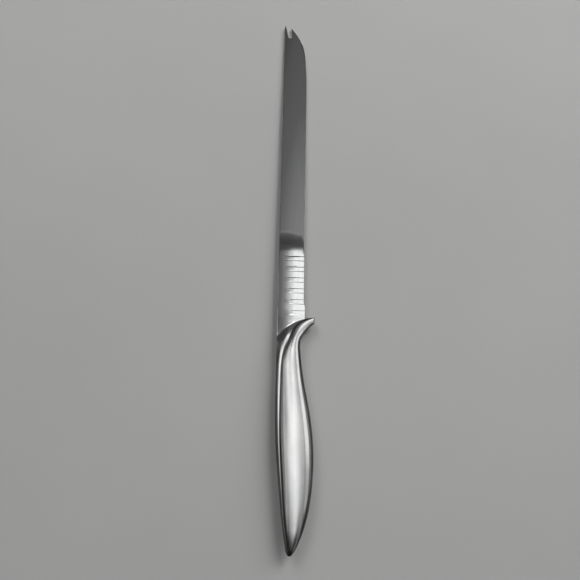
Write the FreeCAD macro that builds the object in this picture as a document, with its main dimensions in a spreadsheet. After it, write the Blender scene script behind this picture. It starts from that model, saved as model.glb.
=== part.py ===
"""Carving knife: a slim forked blade in a hollow, sculpted metal handle.

The knife lies flat. +Y runs from the butt to the tip, +X from the spine to the cutting edge, +Z is up.
Every piece is drawn about the corner where the spine meets the handle, on the blade's mid-plane,
and is then placed so that the origin is under the middle of the whole knife.
"""
import FreeCAD
import Part
import math
import os
import Sketcher

# Driving sizes in millimetres
SIZES = {
    # blade
    "blade_length": 229.0,
    "blade_width": 16.4,
    "blade_thickness": 2.0,
    "edge_thickness": 0.5,
    "edge_bevel": 0.9,
    "spine_flat": 5.8,
    "heel_width": 17.6,
    "heel_length": 16.5,
    "heel_step": 4.5,
    "belly_length": 53.0,
    "belly_drop": 1.5,
    # fork at the tip
    "tip_width": 4.3,
    "prong_drop": 1.1,
    "prong_width": 2.4,
    "prong_point": 0.5,
    "fork_depth": 10.6,
    "fork_width": 3.2,
    # flutes at the heel
    "flute_pitch": 7.1,
    "flute_radius": 27.0,
    "flute_depth": 0.14,
    "flute_start": 11.0,
    # tang
    "tang_length": 82.0,
    "tang_width": 5.4,
    "tang_end_width": 4.0,
    "tang_thickness": 1.5,
    "tang_inset": 3.6,
    "tang_lean": 4.4,
    "tang_waist": 6.8,
    # handle
    "handle_length": 123.6,
    "grip_width": 22.0,
    "grip_thickness": 14.6,
    "neck_width": 13.5,
    "neck_thickness": 9.6,
    "butt_inset": 9.3,
    "guard_reach": 23.4,
    "guard_rise": 10.9,
    "guard_corner": 0.8,
    "guard_thickness": 5.6,
    "front_bow": 2.5,
    "ledge_width": 2.9,
    "ledge_height": 3.5,
    "ledge_edge": 2.2,
    "bolster_width": 7.3,
    "groove_depth": 0.7,
    "groove_width": 0.9,
    "shell_wall": 1.2,
    # fits
    "tang_clearance": 0.1,
    "filling_clearance": 0.05,
    "overrun": 6.0,
}

FLUTE_COUNT = 7
# Strips that the skin of a handle half is made of, over the ledge, the round body and the hollow under it
BROW_STRIPS = 5
CROWN_STRIPS = 20
HOLLOW_STRIPS = 5

HALF_SHARE = 0.5
# Where the belly's two arcs meet, along the belly
BELLY_SHARE = 0.547
# How much the fork's edge side leans, of what its spine side leans
FORK_LEAN_SHARE = 0.75
# Height of the far side wall
RIM_SHARE = 0.14
# How far across the round body, and the hollow under it, the two points that pull its curve up stand
CROWN_SHARES = (0.26, 0.82)
HOLLOW_SHARES = (0.22, 0.78)
# The points that pull the curve over the ledge: up its edge, and back across its top
BROW_UP_SHARE = 0.7
BROW_ACROSS_SHARE = 0.35
# How far the middle of a curve is pulled up, from its ends to two level points
PULL_SHARE = 0.75

# Handle sections in the grip, from the butt forwards:
# along of handle_length, inset of butt_inset, width and height of the grip's,
# ledge of the section's own width, relief of the ledge's full height
GRIP_SHARES = [
    (1.0, 1.0, 0.062, 0.13, 0.30, 0.17),
    (0.988, 0.945, 0.135, 0.24, 0.27, 0.30),
    (0.965, 0.885, 0.24, 0.345, 0.22, 0.42),
    (0.914, 0.775, 0.42, 0.50, 0.155, 0.58),
    (0.81, 0.527, 0.714, 0.74, 0.105, 0.80),
    (0.663, 0.29, 0.927, 0.93, 0.11, 0.95),
    (0.50, 0.086, 1.0, 1.0, 0.128, 1.0),
]

# Sections from the grip to the neck: along and inset as above, width and height of the way from the neck's
# to the grip's, ledge of the way from ledge_width to bolster_width
NECK_SHARES = [
    (0.345, 0.01, 0.65, 0.83, 0.0),
    (0.195, 0.0, 0.18, 0.34, 0.03),
    (0.085, 0.0, 0.0, 0.0, 0.36),
]

# Sections that fan out round the finger recess: spine end of guard_rise, hooked end of the way from the
# neck to the guard's reach and of guard_rise, height of the way from the neck's to the guard's,
# ledge of the section's own width, relief of the ledge's full height
GUARD_SHARES = [
    (0.0, 0.05, -0.21, 0.12, 0.515, 1.0),
    (0.6, 0.275, 0.15, 0.42, 0.63, 0.95),
    (1.15, 0.645, 0.475, 0.72, 0.713, 0.82),
    (1.8, 0.93, 0.66, 0.95, 0.83, 0.72),
    (2.56, 1.22, 0.81, 1.05, 0.93, 0.66),
]

# The sections that are hollow, from behind the butt's solid end to the neck
HOLLOW_STATIONS = slice(3, 10)


class Size:
    """A length as a formula on the size sheet, with its present value for the first drawing."""

    def __init__(self, formula, value):
        self.formula = formula
        self.value = value

    def __add__(self, other):
        return Size(f"({self.formula} + {other.formula})", self.value + other.value)

    def __sub__(self, other):
        return Size(f"({self.formula} - {other.formula})", self.value - other.value)

    def __neg__(self):
        return Size(f"(-{self.formula})", -self.value)

    def __mul__(self, share):
        return Size(f"({self.formula} * {share})", self.value * share)

    def toward(self, other, share):
        """The length that lies a share of the way from this one to another."""
        return self + (other - self) * share

    def middle(self, other):
        """The length halfway between this one and another."""
        return self.toward(other, HALF_SHARE)

    def scaled(self, top, bottom):
        """This length times the ratio of two others."""
        return Size(f"({self.formula} * {top.formula} / {bottom.formula})",
                    self.value * top.value / bottom.value)


ZERO = Size("0", 0.0)
SMOOTH = "smooth"


def half(length):
    return length * HALF_SHARE


def span(run, rise):
    """Distance covered by a run and a rise."""
    return Size(f"hypot({run.formula}; {rise.formula})", math.hypot(run.value, rise.value))


def slope(run, rise):
    """Angle in degrees of a line with this run and rise."""
    return Size(f"atan2({rise.formula}; {run.formula})",
                math.degrees(math.atan2(rise.value, run.value)))


def bind(target, prop, length):
    """Tie a property to a formula on the size sheet."""
    target.setExpression(prop, length.formula)


doc = FreeCAD.newDocument("carving_knife")
sheet = doc.addObject("Spreadsheet::Sheet", "Sizes")
for row, (alias, number) in enumerate(SIZES.items(), start=1):
    sheet.set(f"A{row}", alias)
    sheet.set(f"B{row}", str(number))
    sheet.setAlias(f"B{row}", alias)
doc.recompute()
size = {alias: Size(f"Sizes.{alias}", number) for alias, number in SIZES.items()}

overrun = size["overrun"]
grip_height = half(size["grip_thickness"])
neck_height = half(size["neck_thickness"])
guard_height = half(size["guard_thickness"])


# Bodies and sketches
def new_body(label):
    """A sub-part, placed so that the origin is under the middle of the knife."""
    body = doc.addObject("PartDesign::Body", label)
    body.Label = label
    bind(body, "Placement.Base.x", -half(size["guard_reach"]))
    bind(body, "Placement.Base.y", half(size["handle_length"] - size["blade_length"]))
    bind(body, "Placement.Base.z", grip_height)
    return body


def origin_of(body, role):
    """One of a body's own origin planes or axes."""
    return next(feature for feature in body.Origin.OriginFeatures if feature.Role == role)


def new_sketch(body, name, role):
    """An empty sketch on one of a body's origin planes."""
    sketch = body.newObject("Sketcher::SketchObject", name)
    sketch.AttachmentSupport = (origin_of(body, role), [""])
    sketch.MapMode = "FlatFace"
    return sketch


def pin(sketch, element, end, point, formulas, rules):
    """Hold one point of a sketch at a place given by two lengths."""
    for axis, rule, length in ((-2, "DistanceX", point[0]), (-1, "DistanceY", point[1])):
        if length is ZERO:
            rules.append(Sketcher.Constraint("PointOnObject", element, end, axis))
        else:
            formulas[len(rules)] = length.formula
            rules.append(Sketcher.Constraint(rule, -1, 1, element, end, length.value))


def bend(start, finish, heading):
    """The middle of an arc that leaves a point along a heading and ends at another point."""
    chord = finish - start
    across = heading - chord * (heading.dot(chord) / chord.dot(chord))
    sagitta = chord.Length * math.tan(heading.getAngle(chord) / 2) / 2
    return (start + finish) / 2 + across.normalize() * sagitta


def leaving(arc, via, finish):
    """The heading at the end of an arc."""
    along = arc.tangent(arc.parameter(finish))[0]
    return along if along.dot(finish - via) > 0 else -along


def draw(sketch, path, closed=True):
    """Draw an outline: each entry is a corner and how the stretch after it bends.

    None is a straight stretch, a point is an arc that passes it, SMOOTH is an arc that carries on
    from the stretch before it.
    """
    def at(point):
        return FreeCAD.Vector(point[0].value, point[1].value, 0)

    stretches = len(path) if closed else len(path) - 1
    formulas = {}
    rules = []
    ends = []
    heading = None
    for index in range(stretches):
        corner, how = path[index]
        start = at(corner)
        finish = at(path[(index + 1) % len(path)][0])
        if how is None:
            curve = Part.LineSegment(start, finish)
            heading = (finish - start).normalize()
        else:
            via = bend(start, finish, heading) if how is SMOOTH else at(how)
            curve = Part.Arc(start, via, finish)
            heading = leaving(curve, via, finish)
        element = sketch.addGeometry(curve, False)
        to_first = sketch.getPoint(element, 1).distanceToPoint(start)
        to_last = sketch.getPoint(element, 2).distanceToPoint(start)
        ends.append((element, 1, 2) if to_first < to_last else (element, 2, 1))

    for index in range(stretches):
        corner, how = path[index]
        element, first, _ = ends[index]
        pin(sketch, element, first, corner, formulas, rules)
        if index:
            joint = "Tangent" if how is SMOOTH else "Coincident"
            before, _, before_last = ends[index - 1]
            rules.append(Sketcher.Constraint(joint, before, before_last, element, first))
        if how not in (None, SMOOTH):
            mark = sketch.addGeometry(Part.Point(at(how)), True)
            pin(sketch, mark, 1, how, formulas, rules)
            rules.append(Sketcher.Constraint("PointOnObject", mark, 1, element))
    element, _, last = ends[-1]
    if closed:
        rules.append(Sketcher.Constraint("Coincident", element, last, ends[0][0], ends[0][1]))
    else:
        pin(sketch, element, last, path[-1][0], formulas, rules)
    sketch.addConstraint(rules)
    for index, formula in formulas.items():
        sketch.setExpression(f"Constraints[{index}]", formula)


# Features
def must_cut(body, feature, before):
    """Make a feature the last one of its body, and stop if it took nothing away."""
    body.Tip = feature
    doc.recompute()
    if not body.Shape.Volume < before:
        raise RuntimeError(f"{feature.Name} cuts nothing")


def pad_both_ways(body, name, sketch, thickness):
    """Raise an outline by the same amount above and below the mid-plane."""
    pad = body.newObject("PartDesign::Pad", name)
    pad.Profile = sketch
    pad.Midplane = True
    bind(pad, "Length", thickness)
    doc.recompute()


def cut_both_ways(body, name, sketch, depth):
    """Cut an outline out of a body, by the same amount above and below the mid-plane."""
    before = body.Shape.Volume
    pocket = body.newObject("PartDesign::Pocket", name)
    pocket.Profile = sketch
    pocket.Midplane = True
    bind(pocket, "Length", depth)
    must_cut(body, pocket, before)


def loft(body, kind, name, sections):
    """Run a smooth skin through a row of sections."""
    form = body.newObject(f"PartDesign::{kind}Loft", name)
    form.Profile = sections[0]
    form.Sections = sections[1:]
    doc.recompute()
    return form


# Front of the handle, an arc from the spine to the guard, where the blade's shoulder butts against it
front_start = (ZERO, ZERO)
front_end = (size["guard_reach"] - size["guard_corner"], size["guard_rise"])
front_chord = span(*front_end)
front_via = (
    half(front_end[0]) - size["front_bow"].scaled(front_end[1], front_chord),
    half(front_end[1]) + size["front_bow"].scaled(front_end[0], front_chord),
)


def tang_path(gap):
    """Outline of the tang, or of the slot round it when there is a gap."""
    tail = size["tang_inset"] + size["tang_lean"]
    waist = size["tang_inset"].middle(tail)
    tail_y = -(size["tang_length"] + gap)
    return [
        ((size["tang_inset"] - gap, size["guard_rise"]), None),
        ((waist - gap, -size["tang_waist"]), None),
        ((tail - gap, tail_y), None),
        ((tail + size["tang_end_width"] + gap, tail_y), None),
        ((waist + size["tang_width"] + gap, -size["tang_waist"]), None),
        ((size["tang_inset"] + size["tang_width"] + gap, size["guard_rise"]), None),
    ]


# Blade
blade_half = half(size["blade_thickness"])
edge_half = half(size["edge_thickness"])
edge_start = size["heel_length"] + size["heel_step"]
past_edge = size["heel_width"] + overrun
blade_tip = (size["tip_width"], size["blade_length"] - size["prong_drop"])
# The ground face runs down from the spine flat to where the edge bevel starts
ground_run = size["blade_width"] - size["edge_bevel"] - size["spine_flat"]
ground_drop = blade_half - edge_half


def edge_line():
    """The cutting edge in front of the heel: a straight stretch, then the two arcs of the belly."""
    belly_start = size["blade_length"] - size["belly_length"]
    belly_middle = belly_start + size["belly_length"] * BELLY_SHARE
    return [
        ((size["blade_width"], edge_start), None),
        ((size["blade_width"], belly_start), SMOOTH),
        ((size["blade_width"] - size["belly_drop"], belly_middle), SMOOTH),
        (blade_tip, None),
    ]


def add_blank(body):
    """The flat blank with its stepped heel, cut at the shoulder, and the thinner tang behind it."""
    blank = new_sketch(body, "blank_outline", "XY_Plane")
    draw(blank, [
        ((ZERO, -overrun), None),
        ((size["heel_width"], -overrun), None),
        ((size["heel_width"], size["heel_length"]), None),
        *edge_line(),
        ((ZERO, size["blade_length"]), None),
    ])
    pad_both_ways(body, "blank", blank, size["blade_thickness"])
    shoulder = new_sketch(body, "shoulder_outline", "XY_Plane")
    behind = -(overrun + overrun)
    draw(shoulder, [
        (front_start, front_via),
        (front_end, None),
        ((front_end[0], behind), None),
        ((behind, behind), None),
        ((behind, ZERO), None),
    ])
    cut_both_ways(body, "shoulder", shoulder, size["blade_thickness"] + overrun)
    tang = new_sketch(body, "tang_outline", "XY_Plane")
    draw(tang, tang_path(ZERO))
    pad_both_ways(body, "tang", tang, size["tang_thickness"])


def add_grind(body):
    """Both faces thin from the spine flat to the edge, and a bevel follows the edge round the belly."""
    past_run = past_edge - size["spine_flat"]
    grind = new_sketch(body, "grind_profile", "XZ_Plane")
    draw(grind, [
        ((size["spine_flat"], blade_half), None),
        ((past_edge, blade_half - past_run.scaled(ground_drop, ground_run)), None),
        ((past_edge, size["blade_thickness"]), None),
        ((size["spine_flat"], size["blade_thickness"]), None),
    ])
    before = body.Shape.Volume
    flat_grind = body.newObject("PartDesign::Pocket", "flat_grind")
    flat_grind.Profile = grind
    bind(flat_grind, "Length", size["blade_length"] + overrun)
    must_cut(body, flat_grind, before)

    path = new_sketch(body, "edge_path", "XY_Plane")
    draw(path, edge_line(), closed=False)
    bevel_back = size["blade_width"] - blade_half.scaled(size["edge_bevel"], edge_half)
    profile = new_sketch(body, "bevel_profile", "XZ_Plane")
    bind(profile, "AttachmentOffset.Base.z", -edge_start)
    draw(profile, [
        ((size["blade_width"], ZERO), None),
        ((past_edge, ZERO), None),
        ((past_edge, size["blade_thickness"]), None),
        ((bevel_back, size["blade_thickness"]), None),
        ((bevel_back, blade_half), None),
    ])
    before = body.Shape.Volume
    edge_bevel = body.newObject("PartDesign::SubtractivePipe", "edge_bevel")
    edge_bevel.Profile = profile
    edge_bevel.Spine = (path, ["Edge1", "Edge2", "Edge3"])
    must_cut(body, edge_bevel, before)

    before = body.Shape.Volume
    left_face = body.newObject("PartDesign::Mirrored", "left_face")
    left_face.Originals = [flat_grind, edge_bevel]
    left_face.MirrorPlane = (origin_of(body, "XY_Plane"), [""])
    must_cut(body, left_face, before)


def add_fork(body):
    """A tapering notch with a round bottom leaves two pointed prongs at the tip."""
    radius = half(size["fork_width"])
    bottom = size["blade_length"] - size["fork_depth"]
    mouth = size["blade_length"] + overrun
    right = size["prong_width"] + size["fork_width"]
    taper = size["prong_width"] - size["prong_point"]
    lean = taper.scaled(mouth - bottom, size["fork_depth"])
    notch = new_sketch(body, "fork_outline", "XY_Plane")
    draw(notch, [
        ((size["prong_width"], bottom + radius), (size["prong_width"] + radius, bottom)),
        ((right, bottom + radius), None),
        ((right - lean * FORK_LEAN_SHARE, mouth), None),
        ((size["prong_width"] - lean, mouth), None),
    ])
    cut_both_ways(body, "fork", notch, size["blade_thickness"] + overrun)


def add_flutes(body):
    """Shallow flutes across the heel's right face, deepest at the edge, running out at the spine flat."""
    fall = ground_drop + size["flute_depth"]
    length = span(ground_run, fall)
    flute = body.newObject("PartDesign::SubtractiveCylinder", "flute")
    flute.AttachmentSupport = (origin_of(body, "YZ_Plane"), [""])
    flute.MapMode = "FlatFace"
    flute.AttachmentOffset.Rotation.Axis = FreeCAD.Vector(1, 0, 0)
    bind(flute, "Radius", size["flute_radius"])
    bind(flute, "Height", past_edge)
    bind(flute, "AttachmentOffset.Base.x", size["flute_start"])
    bind(flute, "AttachmentOffset.Base.y", blade_half + size["flute_radius"].scaled(ground_run, length))
    bind(flute, "AttachmentOffset.Base.z", size["spine_flat"] + size["flute_radius"].scaled(fall, length))
    bind(flute, "AttachmentOffset.Rotation.Angle", slope(ground_run, fall))
    doc.recompute()
    before = body.Shape.Volume
    flutes = body.newObject("PartDesign::LinearPattern", "flutes")
    flutes.Originals = [flute]
    flutes.Direction = (origin_of(body, "Y_Axis"), [""])
    flutes.Occurrences = FLUTE_COUNT
    bind(flutes, "Length", size["flute_pitch"] * (FLUTE_COUNT - 1))
    must_cut(body, flutes, before)


def make_blade():
    body = new_body("blade")
    add_blank(body)
    add_grind(body)
    add_fork(body)
    add_flutes(body)
    return body


# Handle
class Station:
    """One cross-section of a handle half, standing upright on the mid-plane."""

    def __init__(self, back, run, rise, height, ledge, relief):
        self.back = back
        self.turn = slope(run, rise)
        self.width = span(run, rise)
        self.height = height
        self.ledge = ledge
        self.relief = relief

    def stand(self, sketch):
        """Stand a sketch upright at this station, turned along its section."""
        sketch.AttachmentOffset.Rotation.Axis = FreeCAD.Vector(0, 1, 0)
        bind(sketch, "AttachmentOffset.Base.x", self.back[0])
        bind(sketch, "AttachmentOffset.Base.z", -self.back[1])
        bind(sketch, "AttachmentOffset.Rotation.Angle", self.turn)


def handle_stations():
    """All sections of a handle half, from the butt to just past the guard's tip."""
    stations = []
    for along, inset, width, height, ledge, relief in GRIP_SHARES:
        back = (size["butt_inset"] * inset, -(size["handle_length"] * along))
        run = size["grip_width"] * width
        stations.append(Station(back, run, ZERO, grip_height * height, run * ledge, relief))
    for along, inset, width, height, ledge in NECK_SHARES:
        back = (size["butt_inset"] * inset, -(size["handle_length"] * along))
        run = size["neck_width"].toward(size["grip_width"], width)
        stations.append(Station(back, run, ZERO, neck_height.toward(grip_height, height),
                                size["ledge_width"].toward(size["bolster_width"], ledge), 1))
    for back_rise, reach, hook_rise, height, ledge, relief in GUARD_SHARES:
        back = (ZERO, size["guard_rise"] * back_rise)
        run = size["neck_width"].toward(size["guard_reach"], reach)
        rise = size["guard_rise"] * hook_rise - back[1]
        stations.append(Station(back, run, rise, neck_height.toward(guard_height, height),
                                span(run, rise) * ledge, relief))
    return stations


def rounded(start, first, second, finish, strips):
    """Corners along a curve from its start to its finish that two points pull out of the straight line."""
    corners = []
    for step in range(strips):
        share = step / strips
        rest = 1 - share
        weights = (rest**3, 3 * share * rest**2, 3 * share**2 * rest, share**3)
        pulls = list(zip((start, first, second, finish), weights))
        across, up = (sum((point[axis] * weight for point, weight in pulls), ZERO) for axis in (0, 1))
        corners.append(((across, up), None))
    return corners


def arch(left, right, top, pull_shares, strips):
    """Corners of an arch between two points, pulled up until its middle reaches the top."""
    foot = left[1].middle(right[1])
    height = foot + (top - foot) * (1 / PULL_SHARE)
    first, second = ((left[0].toward(right[0], share), height) for share in pull_shares)
    return rounded(left, first, second, right, strips)


def outer_section(body, name, station):
    """Side wall, rounded ledge, groove, full round body and the far side wall."""
    crest = size["ledge_height"] * station.relief
    edge = (ZERO, size["ledge_edge"] * station.relief)
    lip = (station.ledge - size["groove_width"] * station.relief, crest)
    valley = (station.ledge, crest - size["groove_depth"] * station.relief)
    rim = (station.width, station.height * RIM_SHARE)
    brow_up = (ZERO, edge[1].toward(crest, BROW_UP_SHARE))
    brow_back = (lip[0] * BROW_ACROSS_SHARE, crest)
    sketch = new_sketch(body, name, "XZ_Plane")
    station.stand(sketch)
    draw(sketch, [
        ((ZERO, ZERO), None),
        *rounded(edge, brow_up, brow_back, lip, BROW_STRIPS),
        (lip, None),
        *arch(valley, rim, station.height, CROWN_SHARES, CROWN_STRIPS),
        (rim, None),
        ((station.width, ZERO), None),
    ])
    return sketch


def hollow_section(body, name, station, gap):
    """The hollow under the round body, a wall's thickness inside it, or less by a gap all round."""
    wall = size["shell_wall"] + gap
    low = station.height * RIM_SHARE
    left = (station.ledge + wall, low)
    right = (station.width - wall - wall, low)
    sketch = new_sketch(body, name, "XZ_Plane")
    station.stand(sketch)
    draw(sketch, [
        ((left[0], ZERO), None),
        *arch(left, right, station.height - wall, HOLLOW_SHARES, HOLLOW_STRIPS),
        (right, None),
        ((right[0], ZERO), None),
    ])
    return sketch


def add_front(body):
    """The guard's flat end, then the front arc with the guard's rounded corner."""
    past = size["guard_reach"] + size["guard_reach"]
    corner_end = size["guard_rise"] - size["guard_corner"]
    guard_end = new_sketch(body, "guard_end_outline", "XY_Plane")
    draw(guard_end, [
        ((size["guard_reach"], -size["guard_rise"]), None),
        ((past, -size["guard_rise"]), None),
        ((past, past), None),
        ((size["guard_reach"], past), None),
    ])
    front = new_sketch(body, "front_outline", "XY_Plane")
    draw(front, [
        (front_start, front_via),
        (front_end, SMOOTH),
        ((size["guard_reach"], corner_end), None),
        ((past, corner_end), None),
        ((past, past), None),
        ((-past, past), None),
        ((-past, ZERO), None),
    ])
    for name, outline in (("guard_end", guard_end), ("front", front)):
        cut_both_ways(body, name, outline, size["grip_thickness"] + overrun)


def make_right_shell():
    body = new_body("handle_shell_right")
    stations = handle_stations()
    loft(body, "Additive", "outside",
         [outer_section(body, f"section_{index}", station) for index, station in enumerate(stations)])
    add_front(body)
    before = body.Shape.Volume
    hollow = loft(body, "Subtractive", "hollow",
                  [hollow_section(body, f"hollow_{index}", station, ZERO)
                   for index, station in enumerate(stations[HOLLOW_STATIONS])])
    must_cut(body, hollow, before)
    clearance = size["tang_clearance"]
    slot = new_sketch(body, "slot_outline", "XY_Plane")
    draw(slot, tang_path(clearance))
    cut_both_ways(body, "slot", slot, size["tang_thickness"] + clearance + clearance)
    return body


def make_left_shell(right_shell):
    """The other half of the handle is the mirror image across the blade's mid-plane."""
    shell = doc.addObject("Part::Mirroring", "handle_shell_left")
    shell.Label = "handle_shell_left"
    shell.Source = right_shell
    shell.Normal = FreeCAD.Vector(0, 0, 1)
    bind(shell, "Base.z", grip_height)
    return shell


def make_filling():
    """Hard cement that fills the hollow on both sides of the tang."""
    body = new_body("handle_filling")
    right_half = loft(body, "Additive", "right_half",
                      [hollow_section(body, f"filling_{index}", station, size["filling_clearance"])
                       for index, station in enumerate(handle_stations()[HOLLOW_STATIONS])])
    whole = body.newObject("PartDesign::Mirrored", "whole")
    whole.Originals = [right_half]
    whole.MirrorPlane = (origin_of(body, "XY_Plane"), [""])
    body.Tip = whole
    doc.recompute()
    socket = new_sketch(body, "socket_outline", "XY_Plane")
    draw(socket, tang_path(ZERO))
    cut_both_ways(body, "socket", socket, size["tang_thickness"])
    return body


blade = make_blade()
right_shell = make_right_shell()
pieces = [blade, right_shell, make_left_shell(right_shell), make_filling()]
doc.recompute()

failed = [item.Name for item in doc.Objects if {"Invalid", "Error"} & set(item.State)]
if failed:
    raise RuntimeError(f"failed objects: {failed}")
for piece in pieces:
    if piece.Shape.isNull() or not piece.Shape.isValid():
        raise RuntimeError(f"{piece.Label} has no sound shape")

os.makedirs("parts", exist_ok=True)
for piece in pieces:
    piece.Shape.exportStep(f"parts/{piece.Label}.step")
    print(piece.Label, len(piece.Shape.Solids), "solid", round(piece.Shape.Volume), "mm3")
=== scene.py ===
# %% [markdown]
# # A forked carving knife
# The knife has a slim polished blade with a fork at its tip and shallow flutes across its heel, held in a
# hollow metal handle with a hooked finger guard. The solids arrive ready made and in place. This lesson gives
# them their finish: finer skins where the light has to slide over a curve, steel that looks worked by hand,
# and the table, lamps and camera of the picture. Lengths are in metres.

# %% Load the solids
import math

import bmesh
import bpy
import numpy as np
from mathutils import Matrix, Vector


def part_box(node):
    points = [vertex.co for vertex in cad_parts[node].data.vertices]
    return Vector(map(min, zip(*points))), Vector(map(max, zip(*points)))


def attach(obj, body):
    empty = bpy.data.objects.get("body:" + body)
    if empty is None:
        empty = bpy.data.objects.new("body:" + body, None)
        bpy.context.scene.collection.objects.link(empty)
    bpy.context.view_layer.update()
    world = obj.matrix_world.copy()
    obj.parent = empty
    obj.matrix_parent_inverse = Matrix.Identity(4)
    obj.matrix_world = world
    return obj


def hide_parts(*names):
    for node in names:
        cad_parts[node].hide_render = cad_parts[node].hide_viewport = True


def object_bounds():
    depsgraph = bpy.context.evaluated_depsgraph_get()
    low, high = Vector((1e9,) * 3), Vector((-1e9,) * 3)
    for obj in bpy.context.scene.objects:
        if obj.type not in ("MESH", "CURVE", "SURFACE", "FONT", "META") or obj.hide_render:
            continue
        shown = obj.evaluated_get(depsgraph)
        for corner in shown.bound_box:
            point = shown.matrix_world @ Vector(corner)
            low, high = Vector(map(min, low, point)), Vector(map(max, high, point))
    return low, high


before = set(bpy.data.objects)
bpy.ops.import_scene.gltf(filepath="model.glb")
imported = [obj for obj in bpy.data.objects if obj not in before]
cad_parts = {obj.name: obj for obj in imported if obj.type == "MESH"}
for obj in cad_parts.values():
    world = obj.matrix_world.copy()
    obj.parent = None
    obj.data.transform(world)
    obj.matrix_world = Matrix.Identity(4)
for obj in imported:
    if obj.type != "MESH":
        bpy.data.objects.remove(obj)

cad_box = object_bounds()
bpy.context.scene.view_settings.view_transform = "Standard"
print("solids:", ", ".join(sorted(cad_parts)))

# %% [markdown]
# ## Where every piece is measured from
# The knife maker's own corner is where the spine meets the front of the handle, on the blade's mid-plane. All
# drawings below start from it: x runs towards the cutting edge, y towards the tip, z up out of the blade. The
# box of one handle half gives that corner, so nothing has to be fitted by eye.

# %% The maker's corner
GUARD_RISE = 0.0109

shell_low, shell_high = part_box("handle_shell_right")
maker_corner = Vector((shell_low.x, shell_high.y - GUARD_RISE, shell_low.z))
print("maker's corner:", [round(value, 5) for value in maker_corner])

# %% [markdown]
# ## The table
# A knife laid on its side touches the table at two places only: the belly of the grip and the tip of the
# blade. So the table leans a little under the knife, which stays where the solids are. The lean is the
# steepest line from the tip's underside that still passes under every point of the handle.

# %% Lean of the table
TIP_BAND = 0.001


def points_of(node):
    """The corners of one solid, as rows of x, y and z."""
    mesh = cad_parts[node].data
    flat = np.empty(len(mesh.vertices) * 3)
    mesh.vertices.foreach_get("co", flat)
    return flat.reshape(-1, 3)


blade_points = points_of("blade")
under_handle = points_of("handle_shell_left")
at_tip = blade_points[blade_points[:, 1] > blade_points[:, 1].max() - TIP_BAND]
tip_rest = at_tip[at_tip[:, 2].argmin()]
table_slope = ((tip_rest[2] - under_handle[:, 2]) / (tip_rest[1] - under_handle[:, 1])).max()
table_height = tip_rest[2] - table_slope * tip_rest[1]
table_place = Matrix.Translation((0, 0, table_height)) @ Matrix.Rotation(math.atan(table_slope), 4, "X")
print("table leans", round(math.degrees(math.atan(table_slope)), 2), "degrees")

# %% [markdown]
# The table is a plain pale grey board. A perfectly even colour looks like fog, so slow noise makes it drift a
# little lighter and darker, and a fine grain keeps its surface from looking like plastic.

# %% A pale grey board
TABLE_SIZE = 6.0
# Stops are a noise value and its colour, and noise is given in patches per metre along x, y and z
BOARD_STOPS = [(0.3, (0.65, 0.65, 0.645, 1)), (0.7, (0.69, 0.69, 0.68, 1))]
DRIFT, GRAIN = (5, 5, 5), (1400, 1400, 1400)
GRAIN_RELIEF = 0.0002, 0.12
BOARD_ROUGHNESS, BOARD_GLOSS = 0.75, 0.25
NOISE_LOW, NOISE_HIGH = 0.3, 0.7


def new_finish(name):
    """A fresh material with its node tree, its shader and a point that every texture reads."""
    finish = bpy.data.materials.new(name)
    finish.use_nodes = True
    nodes = finish.node_tree.nodes
    where = nodes.new("ShaderNodeTexCoord")
    return finish, nodes, finish.node_tree.links, nodes["Principled BSDF"], where.outputs["Object"]


def cloud(nodes, links, where, stretch, detail=4.0, roughness=0.55):
    """Noise stretched to a number of patches per metre along x, y and z."""
    mapping = nodes.new("ShaderNodeMapping")
    mapping.inputs["Scale"].default_value = stretch
    links.new(where, mapping.inputs["Vector"])
    noise = nodes.new("ShaderNodeTexNoise")
    noise.inputs["Scale"].default_value = 1.0
    noise.inputs["Detail"].default_value = detail
    noise.inputs["Roughness"].default_value = roughness
    links.new(mapping.outputs["Vector"], noise.inputs["Vector"])
    return noise.outputs["Fac"]


def ramp(nodes, links, source, stops):
    """Turn a value into a colour through a few stops."""
    band = nodes.new("ShaderNodeValToRGB")
    marks = band.color_ramp.elements
    while len(marks) < len(stops):
        marks.new(0.5)
    for mark, (place, colour) in zip(marks, stops):
        mark.position = place
        mark.color = colour
    links.new(source, band.inputs["Fac"])
    return band.outputs["Color"]


def spread(nodes, links, source, low, high):
    """Stretch the middle of a noise value to run from low to high."""
    scale = nodes.new("ShaderNodeMapRange")
    scale.inputs["From Min"].default_value = NOISE_LOW
    scale.inputs["From Max"].default_value = NOISE_HIGH
    scale.inputs["To Min"].default_value = low
    scale.inputs["To Max"].default_value = high
    links.new(source, scale.inputs["Value"])
    return scale.outputs["Result"]


def emboss(nodes, links, shader, source, depth, strength, under=None):
    """Let a value raise and lower the surface, on top of any relief that is there already."""
    bump = nodes.new("ShaderNodeBump")
    bump.inputs["Strength"].default_value = strength
    bump.inputs["Distance"].default_value = depth
    links.new(source, bump.inputs["Height"])
    if under is not None:
        links.new(under, bump.inputs["Normal"])
    links.new(bump.outputs["Normal"], shader.inputs["Normal"])
    return bump.outputs["Normal"]


board, nodes, links, shader, where = new_finish("pale_board")
drift = cloud(nodes, links, where, DRIFT, detail=6.0)
links.new(ramp(nodes, links, drift, BOARD_STOPS), shader.inputs["Base Color"])
shader.inputs["Roughness"].default_value = BOARD_ROUGHNESS
shader.inputs["Specular IOR Level"].default_value = BOARD_GLOSS
grain = cloud(nodes, links, where, GRAIN, detail=2.0)
emboss(nodes, links, shader, grain, *GRAIN_RELIEF)

table_mesh = bpy.data.meshes.new("table")
reach = TABLE_SIZE / 2
table_mesh.from_pydata([(-reach, -reach, 0), (reach, -reach, 0), (reach, reach, 0), (-reach, reach, 0)],
                       [], [(0, 1, 2, 3)])
table = bpy.data.objects.new("table", table_mesh)
table.matrix_world = table_place
table_mesh.materials.append(board)
bpy.context.scene.collection.objects.link(table)
print("table:", TABLE_SIZE, "m square")

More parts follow.
